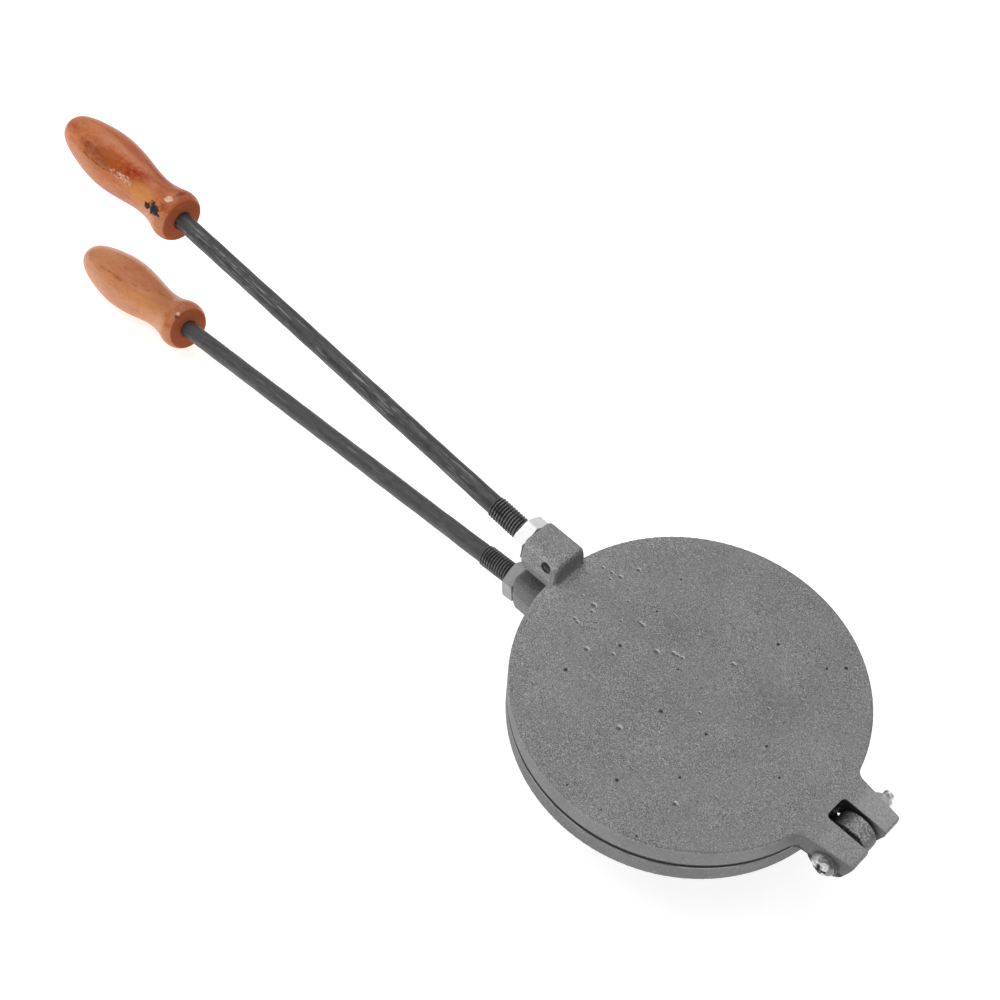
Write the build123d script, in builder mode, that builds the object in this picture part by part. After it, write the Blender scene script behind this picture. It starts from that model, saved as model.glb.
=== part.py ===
from build123d import *
from math import cos, radians, sin
import os

os.makedirs("parts", exist_ok=True)

# A pancake iron, closed: two round cast plates, hinged at +X, on long rods with wooden grips
# at -X. All sizes are in millimetres and degrees. The origin is the centre of the lower
# plate's flat underside, and +Z is up.

# Plates: two cast discs that meet, with a thin gap, at the parting plane.
plate_diameter = 150.0
plate_thickness = 12.0
parting_gap = 0.4
rim_width = 7.0
recess_depth = 4.0
recess_draft_angle = 15.0
recess_floor_round = 1.5
outer_edge_round = 1.0
parting_edge_round = 0.4

# Hinge: ears on the upper plate, a knuckle on the lower one, a screw as the pin.
hinge_standoff = 11.0
hinge_rise = 3.0
hinge_offset = -1.0
ear_radius = 8.0
lug_root_width = 36.0
lug_end_width = 30.0
lug_overhang = 10.0
lug_end_height = 6.0
lug_end_round = 3.0
lug_root_fillet = 4.5
lug_corner_round = 1.5
slot_width = 11.6
slot_end_gap = 2.0
slot_corner_round = 2.0
knuckle_radius = 8.6
knuckle_width = 8.0
knuckle_slip = 0.7
knuckle_foot_fillet = 3.0
knuckle_foot = 4.0
pin_ear_clearance = 0.05
pin_running_clearance = 0.08
seat_margin = 0.6
seat_rise = 0.3

# Rod bosses: crowned blocks that carry the threaded ends of the rods.
boss_length = 18.0
boss_overlap = 4.0
upper_boss_offset = 2.8
lower_boss_offset = 1.2
boss_low = 2.5
boss_high = 24.0
boss_low_width = 14.0
boss_middle_width = 18.6
boss_top_width = 15.0
boss_corner_round = 3.0
boss_end_round = 2.4
boss_foot_fillet = 1.6
side_hole_diameter = 5.4
side_hole_depth = 3.4
side_hole_setback = 15.2
side_hole_height = 18.6

# Rods: round steel bar, threaded at the boss, plain inside the handle.
rod_tilt_angle = 4.85
lower_rod_swing_angle = 0.75
rod_rise = 14.4
rod_shank_diameter = 9.0
rod_thread_diameter = 10.0
rod_thread_visible = 19.0
rod_thread_depth = 16.0
rod_bore_spare = 1.0
rod_bore_clearance = 0.05
rod_free_length = 242.6
rod_tang_length = 60.0
rod_end_chamfer = 1.0

# Lock nuts: thin hexagon nuts that hold the rods against turning.
lock_nut_flats = 17.0
lock_nut_height = 6.0
lock_nut_turn_angle = 30.0
nut_chamfer = 0.7

# Handles: turned grips. Each share is a place along the handle, counted from its rounded tip.
upper_handle_length = 88.8
lower_handle_length = 91.4
upper_handle_turn_angle = 1.3
lower_handle_turn_angle = -0.5
lower_handle_sag_angle = 1.3
tip_diameter = 17.8
tip_share = 0.063
shoulder_diameter = 24.5
shoulder_share = 0.191
belly_diameter = 28.6
belly_share = 0.392
waist_diameter = 25.3
waist_share = 0.574
neck_diameter = 21.4
neck_share = 0.742
flare_diameter = 24.0
flare_share = 0.871
collar_diameter = 26.7
collar_share = 0.941
face_diameter = 20.6
tip_fullness = 1.6
handle_bore_clearance = 0.05
handle_bore_spare = 2.0

# Hinge screw and its nut.
screw_diameter = 5.0
screw_head_diameter = 10.2
screw_head_height = 3.7
screw_tail = 4.0
screw_end_chamfer = 0.6
head_rim_height = 1.2
cross_width = 1.4
cross_span = 5.8
cross_depth = 2.2
cross_turn_angle = 20.0
hinge_nut_flats = 8.0
hinge_nut_height = 4.0
hinge_nut_turn_angle = 15.0

# Places that follow from the sizes above.
plate_radius = plate_diameter / 2
recess_radius = plate_radius - rim_width
parting_height = plate_thickness + parting_gap / 2
hinge_x = plate_radius + hinge_standoff
hinge_z = parting_height + hinge_rise
lug_end_x = hinge_x + lug_overhang
slot_start_x = hinge_x - knuckle_radius - slot_end_gap
knuckle_y = hinge_offset + knuckle_slip
boss_root_x = -(plate_radius - boss_overlap)
boss_end_x = -(plate_radius + boss_length)
thread_end = lock_nut_height + rod_thread_visible
handle_face = lock_nut_height + rod_free_length
screw_hole_radius = screw_diameter / 2 + pin_ear_clearance
nut_corner_radius = hinge_nut_flats / 2 / cos(radians(30))
seat_radius = max(screw_head_diameter / 2, nut_corner_radius) + seat_margin
lug_slope = (lug_root_width - lug_end_width) / 2 / (lug_end_x - plate_radius)
seat_half_width = (
    lug_root_width / 2 - lug_slope * (hinge_x - seat_radius - plate_radius) + seat_rise
)
plate_top = parting_height + parting_gap / 2 + plate_thickness
lug_end_z = parting_height + lug_end_height + lug_end_round
side_hole_face = upper_boss_offset - boss_middle_width / 2
screw_length = 2 * seat_half_width + hinge_nut_height + screw_tail
dome_height = screw_head_height - head_rim_height
head_dome_radius = (dome_height**2 + (screw_head_diameter / 2) ** 2) / (2 * dome_height)

UPPER, LOWER = 1, -1
boss_offset = {UPPER: upper_boss_offset, LOWER: lower_boss_offset}
rod_swing = {UPPER: 0.0, LOWER: radians(lower_rod_swing_angle)}
handle_length = {UPPER: upper_handle_length, LOWER: lower_handle_length}
handle_turn = {UPPER: upper_handle_turn_angle, LOWER: lower_handle_turn_angle}
handle_sag = {UPPER: 0.0, LOWER: lower_handle_sag_angle}


def half_plane(side):
    """The parting plane as one half sees it, turned over about the X axis for the lower half."""
    return Plane(origin=(0, 0, parting_height), x_dir=(1, 0, 0), z_dir=(0, 0, side))


def cross_plane(side, x):
    """A plane across the plates at x, whose y runs away from the parting plane."""
    return Plane(origin=(x, 0, parting_height), x_dir=(0, side, 0), z_dir=(1, 0, 0))


def rod_plane(side, distance=0.0):
    """A plane across one rod, some distance out from its boss, whose z runs out along the rod."""
    tilt = radians(rod_tilt_angle)
    swing = rod_swing[side]
    along = Vector(-cos(tilt) * cos(swing), side * cos(tilt) * sin(swing), side * sin(tilt))
    seat = Vector(boss_end_x, side * boss_offset[side], parting_height + side * rod_rise)
    return Plane(origin=seat + along * distance, x_dir=(0, 1, 0), z_dir=along)


def hinge_plane(y):
    """A plane across the hinge axis at y, whose x runs along +X and whose z runs along -Y."""
    return Plane(origin=(0, y, 0), x_dir=(1, 0, 0), z_dir=(0, -1, 0))


def boss_block(side):
    """One rod boss: a crowned section drawn out past the rim and cut square to its rod."""
    middle = (boss_low + boss_high) / 2
    offset = boss_offset[side]
    spare = lock_nut_height
    with BuildPart() as block:
        with BuildSketch(cross_plane(side, boss_root_x)) as section:
            with BuildLine():
                near = ThreePointArc(
                    (offset + boss_low_width / 2, boss_low),
                    (offset + boss_middle_width / 2, middle),
                    (offset + boss_top_width / 2, boss_high),
                )
                far = ThreePointArc(
                    (offset - boss_top_width / 2, boss_high),
                    (offset - boss_middle_width / 2, middle),
                    (offset - boss_low_width / 2, boss_low),
                )
                Line(near @ 1, far @ 0)
                Line(far @ 1, near @ 0)
            make_face()
            fillet(section.vertices(), boss_corner_round)
        extrude(amount=boss_end_x - boss_root_x - spare)
        split(bisect_by=rod_plane(side), keep=Keep.BOTTOM)
        fillet(block.faces().sort_by(Axis.X)[0].edges(), boss_end_round)
        root_edges = block.faces().sort_by(Axis.X)[-1].edges()
        fillet(root_edges.sort_by(Axis.Z)[-1 if side == UPPER else 0], boss_end_round)
    return block.part


def tongue(start_x, end_x, middle_y, root_width, slope=0.0):
    """A plan from start_x to end_x, root_width wide at the rim, its sides closing by the slope."""
    start_half = root_width / 2 - slope * (start_x - plate_radius)
    end_half = root_width / 2 - slope * (end_x - plate_radius)
    with BuildSketch() as plan:
        with Locations((0, middle_y)):
            Polygon(
                (start_x, -start_half),
                (end_x, -end_half),
                (end_x, end_half),
                (start_x, start_half),
                align=None,
            )
    return plan.sketch


def plate_outline(height, plan, foot_fillet):
    """A plate's outline with its hinge tongue, filleted where the tongue leaves the rim."""
    with BuildSketch(Plane.XY.offset(height)) as outline:
        Circle(plate_radius)
        add(plan)
        fillet(outline.vertices().filter_by_position(Axis.X, 0, plate_radius), foot_fillet)
    return outline.sketch


def cast_half(side, outline):
    """What both plates share: disc, boss with its bore, and the shallow cooking recess."""
    with BuildPart() as casting:
        extrude(outline, amount=side * plate_thickness)
        level_faces = casting.faces().filter_by(Axis.Z).sort_by(Axis.Z)
        inner_face, outer_face = level_faces[::side]
        fillet(outer_face.edges(), outer_edge_round)
        fillet(inner_face.edges(), parting_edge_round)
        add(boss_block(side))
        fillet(casting.edges(Select.NEW), boss_foot_fillet)
        with BuildSketch(half_plane(side).offset(parting_gap / 2)):
            Circle(recess_radius)
        extrude(amount=recess_depth, taper=recess_draft_angle, mode=Mode.SUBTRACT)
        recess_floor = casting.faces(Select.LAST).filter_by(GeomType.PLANE)
        fillet(recess_floor.edges(), recess_floor_round)
        with BuildSketch(rod_plane(side)):
            Circle(rod_thread_diameter / 2 + rod_bore_clearance)
        extrude(amount=-(rod_thread_depth + rod_bore_spare), mode=Mode.SUBTRACT)
    return casting.part


def rod(side):
    """One rod: the threaded end in its boss, the shank, and the tang inside the handle."""
    with BuildPart() as bar:
        with BuildSketch(rod_plane(side, -rod_thread_depth)):
            Circle(rod_thread_diameter / 2)
        extrude(amount=rod_thread_depth + thread_end)
        with BuildSketch(rod_plane(side, thread_end)):
            Circle(rod_shank_diameter / 2)
        extrude(amount=handle_face - thread_end + rod_tang_length)
        ends = bar.faces().sort_by(Axis.X)
        chamfer([ends[0].edges(), ends[-1].edges()], rod_end_chamfer)
    return bar.part


def hexagon_nut(plane, flats, height, bore_radius, turn):
    """A hexagon nut on a plane, its corners chamfered at both ends."""
    with BuildPart() as nut:
        with BuildSketch(plane):
            Circle(flats / 2 / cos(radians(30)))
        extrude(amount=height)
        chamfer(nut.edges().filter_by(GeomType.CIRCLE), nut_chamfer / 2, nut_chamfer)
        with BuildSketch(plane):
            RegularPolygon(flats / 2, 6, major_radius=False, rotation=turn)
            Circle(bore_radius, mode=Mode.SUBTRACT)
        extrude(amount=height, mode=Mode.INTERSECT)
    return nut.part


def handle(side):
    """One turned grip, bored for the rod's tang, from which it leans a little, as a push fit does."""
    length = handle_length[side]
    front = rod_plane(side, handle_face)
    outward = front.z_dir.rotate(Axis.Y, -handle_sag[side]).rotate(Axis.Z, handle_turn[side])
    tip = front.origin + outward * length
    lengthwise = Plane(origin=tip, x_dir=-outward, z_dir=outward.cross(Vector(0, 0, 1)))
    with BuildPart() as grip:
        with BuildSketch(lengthwise):
            with BuildLine():
                side_line = Spline(
                    (0, 0),
                    (length * tip_share, tip_diameter / 2),
                    (length * shoulder_share, shoulder_diameter / 2),
                    (length * belly_share, belly_diameter / 2),
                    (length * waist_share, waist_diameter / 2),
                    (length * neck_share, neck_diameter / 2),
                    (length * flare_share, flare_diameter / 2),
                    (length * collar_share, collar_diameter / 2),
                    tangents=[(0, 1), (1, 0)],
                    tangent_scalars=[tip_fullness, 1],
                )
                front_edge = EllipticalCenterArc(
                    (length * collar_share, face_diameter / 2),
                    length * (1 - collar_share),
                    (collar_diameter - face_diameter) / 2,
                )
                Polyline(front_edge @ 0, (length, 0), side_line @ 0)
            make_face()
        revolve(axis=Axis(tip, -outward))
        with BuildSketch(rod_plane(side, handle_face - handle_bore_spare)):
            Circle(rod_shank_diameter / 2 + handle_bore_clearance)
        extrude(amount=rod_tang_length + 2 * handle_bore_spare, mode=Mode.SUBTRACT)
    return grip.part


with BuildPart() as upper_plate:
    # The ears: the lug's plan drawn past the parting plane, kept inside their side profile.
    with BuildSketch() as ear_plan:
        add(tongue(slot_start_x, lug_end_x, hinge_offset, lug_root_width, lug_slope))
        fillet(ear_plan.vertices().group_by(Axis.X)[-1], lug_corner_round)
    extrude(amount=plate_top)
    with BuildSketch(hinge_plane(hinge_offset)) as ear_profile:
        with BuildLine():
            CenterArc((hinge_x, hinge_z), ear_radius, 0, 360)
            CenterArc((lug_end_x - lug_end_round, lug_end_z), lug_end_round, 0, 360)
            Line((hinge_x - ear_radius, plate_top), (lug_end_x, plate_top))
        make_hull()
    extrude(amount=lug_root_width, both=True, mode=Mode.INTERSECT)
    fillet(upper_plate.faces().sort_by(Axis.Z)[-1].edges(), outer_edge_round)
    lug_root = tongue(recess_radius, hinge_x, hinge_offset, lug_root_width, lug_slope)
    add(cast_half(UPPER, plate_outline(parting_height + parting_gap / 2, lug_root, lug_root_fillet)))
    # Round pads on the ears' outer sides, flat for the screw's head and nut.
    with BuildSketch(hinge_plane(hinge_offset)):
        with Locations((hinge_x, hinge_z)):
            Circle(seat_radius)
    extrude(amount=seat_half_width, both=True)
    # The slot for the knuckle, open at the lug's outer end.
    with BuildSketch(Plane.XY.offset(plate_top)) as slot:
        with Locations((slot_start_x, hinge_offset)):
            Rectangle(plate_radius, slot_width, align=(Align.MIN, Align.CENTER))
        fillet(slot.vertices().group_by(Axis.X)[0], slot_corner_round)
    extrude(amount=-plate_top, mode=Mode.SUBTRACT)
    # The pin's hole through both ears.
    with BuildSketch(hinge_plane(hinge_offset)):
        with Locations((hinge_x, hinge_z)):
            Circle(screw_hole_radius)
    extrude(amount=lug_root_width, both=True, mode=Mode.SUBTRACT)
    # A blind round hole in the boss's near side.
    with BuildSketch(hinge_plane(side_hole_face)):
        with Locations((boss_end_x + side_hole_setback, parting_height + side_hole_height)):
            Circle(side_hole_diameter / 2)
    extrude(amount=-side_hole_depth, mode=Mode.SUBTRACT)

with BuildPart() as lower_plate:
    # The knuckle: a round lobe on the pin that runs down to the plate's flat underside.
    with BuildSketch(hinge_plane(knuckle_y)) as knuckle_profile:
        with BuildLine():
            CenterArc((hinge_x, hinge_z), knuckle_radius, 0, 360)
            Line((hinge_x - knuckle_radius, 0), (hinge_x + knuckle_foot, 0))
        make_hull()
    extrude(amount=knuckle_width / 2, both=True)
    fillet(lower_plate.faces().filter_by(Axis.Y).edges(), outer_edge_round)
    knuckle_root = tongue(recess_radius, hinge_x, knuckle_y, knuckle_width)
    add(cast_half(LOWER, plate_outline(plate_thickness, knuckle_root, knuckle_foot_fillet)))
    with BuildSketch(hinge_plane(knuckle_y)):
        with Locations((hinge_x, hinge_z)):
            Circle(screw_diameter / 2 + pin_running_clearance)
    extrude(amount=knuckle_width, both=True, mode=Mode.SUBTRACT)

with BuildPart() as hinge_screw:
    screw_seat = Vector(hinge_x, hinge_offset - seat_half_width, hinge_z)
    with BuildSketch(Plane(origin=screw_seat, x_dir=(0, -1, 0), z_dir=(0, 0, 1))):
        with BuildLine():
            Polyline(
                (0, 0),
                (-screw_length, 0),
                (-screw_length, screw_diameter / 2 - screw_end_chamfer),
                (-screw_length + screw_end_chamfer, screw_diameter / 2),
                (0, screw_diameter / 2),
                (0, screw_head_diameter / 2),
                (head_rim_height, screw_head_diameter / 2),
            )
            dome = RadiusArc(
                (head_rim_height, screw_head_diameter / 2), (screw_head_height, 0), head_dome_radius
            )
            Line(dome @ 1, (0, 0))
        make_face()
    revolve(axis=Axis(screw_seat, (0, -1, 0)))
    with BuildSketch(hinge_plane(screw_seat.Y - screw_head_height - cross_depth)):
        with Locations((hinge_x, hinge_z)):
            Rectangle(cross_span, cross_width, rotation=cross_turn_angle)
            Rectangle(cross_width, cross_span, rotation=cross_turn_angle)
    extrude(amount=-2 * cross_depth, mode=Mode.SUBTRACT)

nut_seat = Plane(
    origin=(hinge_x, hinge_offset + seat_half_width, hinge_z), x_dir=(1, 0, 0), z_dir=(0, 1, 0)
)

pieces = {
    "upper_plate": upper_plate.part,
    "lower_plate": lower_plate.part,
    "hinge_screw": hinge_screw.part,
    "hinge_nut": hexagon_nut(
        nut_seat, hinge_nut_flats, hinge_nut_height, screw_hole_radius, hinge_nut_turn_angle
    ),
}
for half, side in (("upper", UPPER), ("lower", LOWER)):
    nut_bore = rod_thread_diameter / 2 + rod_bore_clearance
    pieces[half + "_rod"] = rod(side)
    pieces[half + "_lock_nut"] = hexagon_nut(
        rod_plane(side), lock_nut_flats, lock_nut_height, nut_bore, lock_nut_turn_angle
    )
    pieces[half + "_handle"] = handle(side)

for name, piece in pieces.items():
    piece.label = name
    export_step(piece, f"parts/{name}.step")
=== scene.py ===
import bpy
import numpy as np
from mathutils import Matrix, Vector


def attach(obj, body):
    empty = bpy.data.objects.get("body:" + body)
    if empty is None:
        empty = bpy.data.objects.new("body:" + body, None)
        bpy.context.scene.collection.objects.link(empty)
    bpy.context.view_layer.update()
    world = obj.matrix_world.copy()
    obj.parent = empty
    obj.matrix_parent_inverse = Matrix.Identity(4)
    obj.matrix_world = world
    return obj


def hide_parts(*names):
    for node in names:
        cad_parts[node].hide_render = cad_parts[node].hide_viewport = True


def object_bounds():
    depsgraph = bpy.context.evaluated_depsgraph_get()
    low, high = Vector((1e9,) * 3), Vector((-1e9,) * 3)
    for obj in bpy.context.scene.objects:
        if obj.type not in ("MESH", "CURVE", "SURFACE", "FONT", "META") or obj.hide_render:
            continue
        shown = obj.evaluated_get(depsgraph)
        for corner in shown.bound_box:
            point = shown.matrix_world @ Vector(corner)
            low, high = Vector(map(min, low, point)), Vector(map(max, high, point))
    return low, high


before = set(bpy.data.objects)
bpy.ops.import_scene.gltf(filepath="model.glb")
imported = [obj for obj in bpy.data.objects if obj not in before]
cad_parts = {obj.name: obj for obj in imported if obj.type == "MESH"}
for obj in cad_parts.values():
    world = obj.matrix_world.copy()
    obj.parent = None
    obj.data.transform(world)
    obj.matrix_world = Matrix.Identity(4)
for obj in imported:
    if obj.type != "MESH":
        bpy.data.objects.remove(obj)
cad_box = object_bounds()

MM = 0.001
UPPER, LOWER = 1, -1
FULL_TURN = 2.0 * np.pi

# Sizes of the plates, rods and handles, in millimetres and radians, as the solids have them
PARTING_HEIGHT = 12.2
PLATE_TOP = 24.4
BOSS_END_X = -93.0
BOSS_OFFSET = {UPPER: 2.8, LOWER: 1.2}
ROD_RISE = 14.4
ROD_TILT = np.radians(4.85)
ROD_SWING = {UPPER: 0.0, LOWER: np.radians(0.75)}
SHANK_RADIUS = 4.5
ROD_INNER_END = -16.0
ROD_OUTER_END = 308.6
THREAD_PITCH = 1.5
THREAD_CREST = 5.25
THREAD_ROOT = 4.2
THREAD_START = 3.0
THREAD_END = 25.0
HANDLE_FACE = 248.6
HANDLE_LENGTH = {UPPER: 88.8, LOWER: 91.4}
HANDLE_SAG = {UPPER: 0.0, LOWER: np.radians(1.3)}
HANDLE_TURN = {UPPER: np.radians(1.3), LOWER: np.radians(-0.5)}
HANDLE_SHARES = np.array([0.0, 0.063, 0.191, 0.392, 0.574, 0.742, 0.871, 0.941])
HANDLE_RADII = np.array([0.0, 8.9, 12.25, 14.3, 12.65, 10.7, 12.0, 13.35])
TIP_FULLNESS = 1.6
FACE_RADIUS = 10.3
BORE_RADIUS = 4.55
BORE_DEPTH = 62.0


# Places along the rods and handles


def metres(point):
    return tuple(value * MM for value in point)


def across_and_up(along):
    """The level direction towards +Y that is square to a given one, and the cross product of the two."""
    across = np.array([-along[1], along[0], 0.0]) * np.sign(along[0])
    across = across / np.linalg.norm(across)
    return across, np.cross(along, across)


def rod_along(side):
    """The direction in which a rod leaves its boss."""
    level = np.cos(ROD_TILT)
    swing = ROD_SWING[side]
    return np.array([-level * np.cos(swing), side * level * np.sin(swing), side * np.sin(ROD_TILT)])


def rod_point(side, distance):
    """A point on a rod's axis, some millimetres out from its boss."""
    seat = np.array([BOSS_END_X, side * BOSS_OFFSET[side], PARTING_HEIGHT + side * ROD_RISE])
    return seat + rod_along(side) * distance


def handle_outward(side):
    """The direction of a handle from its front face to its tip, a little off its rod's."""
    x, y, z = rod_along(side)
    sag, turn = HANDLE_SAG[side], HANDLE_TURN[side]
    level = x * np.cos(sag) - z * np.sin(sag)
    return np.array(
        [
            level * np.cos(turn) - y * np.sin(turn),
            level * np.sin(turn) + y * np.cos(turn),
            x * np.sin(sag) + z * np.cos(sag),
        ]
    )


def handle_tip(side):
    return rod_point(side, HANDLE_FACE) + handle_outward(side) * HANDLE_LENGTH[side]


# Camera, light and floor, in metres and watts

CAMERA_PLACE = (0.15356, -0.28926, 0.54129)
CAMERA_BACK = Vector((0.4177, -0.4541, 0.7870))
CAMERA_RIGHT = Vector((0.6999, 0.7131, 0.0400))
FILM_WIDTH = 36.0
FOCAL_LENGTH = 52.86
ROOM_BRIGHTNESS = 0.40
SOFTBOXES = {
    "overhead": {"position": (-0.50, 0.05, 1.10), "aim": (-0.10, 0.0, 0.0), "size": 1.5, "watts": 9.0},
    "side_fill": {"position": (-0.40, -0.95, 0.40), "aim": (0.0, 0.0, 0.02), "size": 0.6, "watts": 0.8},
}
FLOOR_REACH = 3.0
FLOOR_GAP = 0.0005
PAPER_TONE = 0.9
PAPER_GLOW = 0.62


def place_camera():
    """The photograph's viewpoint, fitted to the outlines of both plates and both rods."""
    back = CAMERA_BACK.normalized()
    right = (CAMERA_RIGHT - back * CAMERA_RIGHT.dot(back)).normalized()
    turn = Matrix((right, back.cross(right), back)).transposed().to_4x4()
    data = bpy.data.cameras.new("photo_camera")
    data.sensor_width = FILM_WIDTH
    data.lens = FOCAL_LENGTH
    camera = bpy.data.objects.new("photo_camera", data)
    camera.matrix_world = Matrix.Translation(CAMERA_PLACE) @ turn
    bpy.context.scene.collection.objects.link(camera)
    bpy.context.scene.camera = camera


def place_softbox(name, position, aim, size, watts):
    """One square soft light that looks at a point of the object."""
    data = bpy.data.lights.new(name, "AREA")
    data.shape = "SQUARE"
    data.size = size
    data.energy = watts
    light = bpy.data.objects.new(name, data)
    away = Vector(position) - Vector(aim)
    turn = away.to_track_quat("Z", "Y").to_matrix().to_4x4()
    light.matrix_world = Matrix.Translation(position) @ turn
    bpy.context.scene.collection.objects.link(light)


def light_studio():
    """A white room with a large softbox overhead and a weaker one at the side."""
    world = bpy.data.worlds.new("white_room")
    world.use_nodes = True
    background = world.node_tree.nodes["Background"]
    background.inputs["Color"].default_value = (1.0, 1.0, 1.0, 1.0)
    background.inputs["Strength"].default_value = ROOM_BRIGHTNESS
    bpy.context.scene.world = world
    bpy.context.scene.view_settings.view_transform = "Standard"
    for name, softbox in SOFTBOXES.items():
        place_softbox(name, **softbox)


def lay_floor():
    """A square white sheet just under the lowest point of the iron, seen from above only."""
    height = cad_box[0][2] - FLOOR_GAP
    signs = [(-1, -1), (1, -1), (1, 1), (-1, 1)]
    corners = [(x * FLOOR_REACH, y * FLOOR_REACH, height) for x, y in signs]
    mesh = bpy.data.meshes.new("floor")
    mesh.from_pydata(corners, [], [(0, 1, 2, 3)])
    floor = bpy.data.objects.new("floor", mesh)
    bpy.context.scene.collection.objects.link(floor)
    paper = Finish("white_paper")
    paper.set(Base_Color=(PAPER_TONE, PAPER_TONE, PAPER_TONE, 1.0), Roughness=0.9)
    paper.set(Emission_Color=(1.0, 1.0, 1.0, 1.0), Emission_Strength=PAPER_GLOW)
    from_below = paper.add("ShaderNodeNewGeometry", {}, {}, "Backfacing")
    front = Wire(paper, paper.shader.outputs[0])
    clear = paper.add("ShaderNodeBsdfTransparent", {}, {})
    sheet = paper.add("ShaderNodeMixShader", {}, {0: from_below, 1: front, 2: clear})
    paper.feed(paper.tree.nodes["Material Output"].inputs["Surface"], sheet)
    mesh.materials.append(paper.material)


# Shader writing


class Wire:
    """One output of a shader tree. Arithmetic between wires and numbers adds Math nodes."""

    def __init__(self, finish, socket):
        self.finish = finish
        self.socket = socket

    def math(self, operation, *terms):
        return self.finish.add("ShaderNodeMath", {"operation": operation}, dict(enumerate(terms)))

    def __add__(self, other):
        return self.math("ADD", self, other)

    def __sub__(self, other):
        return self.math("SUBTRACT", self, other)

    def __mul__(self, other):
        return self.math("MULTIPLY", self, other)

    def __rsub__(self, other):
        return self.math("SUBTRACT", other, self)

    __radd__ = __add__
    __rmul__ = __mul__

    def size(self):
        return self.math("ABSOLUTE", self)

    def largest(self, other):
        return self.math("MAXIMUM", self, other)

    def above(self, edge, softness):
        """0 below the edge and 1 above it, with a smooth step as wide as the softness."""
        return self.finish.add(
            "ShaderNodeMapRange",
            {"interpolation_type": "SMOOTHSTEP"},
            {"Value": self, "From Min": edge - softness / 2, "From Max": edge + softness / 2},
        )

    def below(self, edge, softness):
        return 1 - self.above(edge, softness)

    def past(self, border):
        """0 before a border and 1 past it. A border is a place and a softness, in millimetres."""
        place, softness = border
        return self.above(place * MM, softness * MM)

    def before(self, border):
        return 1 - self.past(border)

    def near(self, middle, border):
        """1 less than a border away from a middle, in millimetres, and 0 further off."""
        return (self - middle * MM).size().before(border)


class Finish:
    """A procedural material on Object coordinates, built up node by node."""

    def __init__(self, name):
        self.material = bpy.data.materials.new(name)
        self.material.use_nodes = True
        self.tree = self.material.node_tree
        self.shader = self.tree.nodes["Principled BSDF"]
        self.place = self.add("ShaderNodeTexCoord", {}, {}, "Object")

    def add(self, kind, settings, inputs, output=0):
        """A node of one type: its settings first, then the numbers or wires of its inputs."""
        node = self.tree.nodes.new(kind)
        for key, value in settings.items():
            if key == "stops":
                elements = node.color_ramp.elements
                for number, (position, colour) in enumerate(value):
                    stop = elements[number] if number < 2 else elements.new(position)
                    stop.position = position
                    stop.color = (*colour, 1.0)
            else:
                setattr(node, key, value)
        for key, value in inputs.items():
            self.feed(node.inputs[key], value)
        return Wire(self, node.outputs[output])

    def feed(self, socket, value):
        if isinstance(value, Wire):
            self.tree.links.new(value.socket, socket)
        else:
            socket.default_value = value

    def set(self, **sockets):
        """Values or wires for the shader's own sockets, named with underscores for spaces."""
        for key, value in sockets.items():
            self.feed(self.shader.inputs[key.replace("_", " ")], value)

    def noise(self, scale, detail=2.0, roughness=0.5, place=None):
        """Noise whose scale is its waves to the metre, or to the unit of a place that is given."""
        inputs = {"Vector": place or self.place, "Scale": scale, "Detail": detail, "Roughness": roughness}
        return self.add("ShaderNodeTexNoise", {}, inputs, "Fac")

    def drawn_noise(self, place, along, across, detail, roughness):
        """Noise drawn out along a piece, with its own waves to the metre along and across it."""
        drawn = self.vector("MULTIPLY", place, (along, across, across))
        return self.noise(1.0, detail, roughness, drawn)

    def cells(self, scale, output="Distance"):
        """Cells whose scale is their number to the metre: how far a middle is, or a colour for each."""
        return self.add("ShaderNodeTexVoronoi", {}, {"Vector": self.place, "Scale": scale}, output)

    def vector(self, operation, first, second, output="Vector"):
        return self.add("ShaderNodeVectorMath", {"operation": operation}, {0: first, 1: second}, output)

    def part(self, place, letter):
        return self.add("ShaderNodeSeparateXYZ", {}, {0: place}, letter)

    def parts(self, place):
        return [self.part(place, letter) for letter in "XYZ"]

    def place_along(self, origin, along):
        """Coordinates from an origin, whose X runs along a direction and whose Y is level."""
        moved = self.vector("SUBTRACT", self.place, metres(origin))
        directions = (along, *across_and_up(along))
        distances = [self.vector("DOT_PRODUCT", moved, tuple(d), "Value") for d in directions]
        return self.add("ShaderNodeCombineXYZ", {}, dict(enumerate(distances)))

    def length_of(self, place, x, y, z):
        """How far a place lies from the origin, each direction weighed by a factor."""
        return self.vector("LENGTH", self.vector("MULTIPLY", place, (x, y, z)), (0.0, 0.0, 0.0), "Value")

    def spot(self, point, border):
        """1 less than a border away from a point of the object and 0 further off, in millimetres."""
        distance = self.vector("DISTANCE", self.place, metres(point), "Value")
        return distance.before(border)

    def patch(self, place, side, station, angle, reach, length_share, wobble, softness):
        """1 on a ragged patch of a grip's surface, longer than it is wide, and 0 away from it.

        The patch reaches some millimetres around the grip, and that over its share along it."""
        away = self.vector("SUBTRACT", place, metres(grip_point(side, station, angle)))
        distance = self.length_of(away, length_share, 1.0, 1.0)
        ragged = distance + wobble * (reach * MM * PATCH_RAGGEDNESS)
        return ragged.before((reach, reach * softness))

    def blend(self, share, first, second):
        """A colour between two colours, by a share from 0 to 1."""
        pair = [c if isinstance(c, Wire) else (*c, 1.0) for c in (first, second)]
        return self.add("ShaderNodeMix", {"data_type": "RGBA"}, {0: share, 6: pair[0], 7: pair[1]}, 2)

    def ramp(self, share, *stops):
        return self.add("ShaderNodeValToRGB", {"stops": stops}, {"Fac": share})

    def bump(self, height, depth):
        """A normal bent by a height whose step of 1 stands for a depth in millimetres."""
        return self.add("ShaderNodeBump", {}, {"Height": height, "Distance": depth * MM, "Strength": 1.0})


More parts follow.
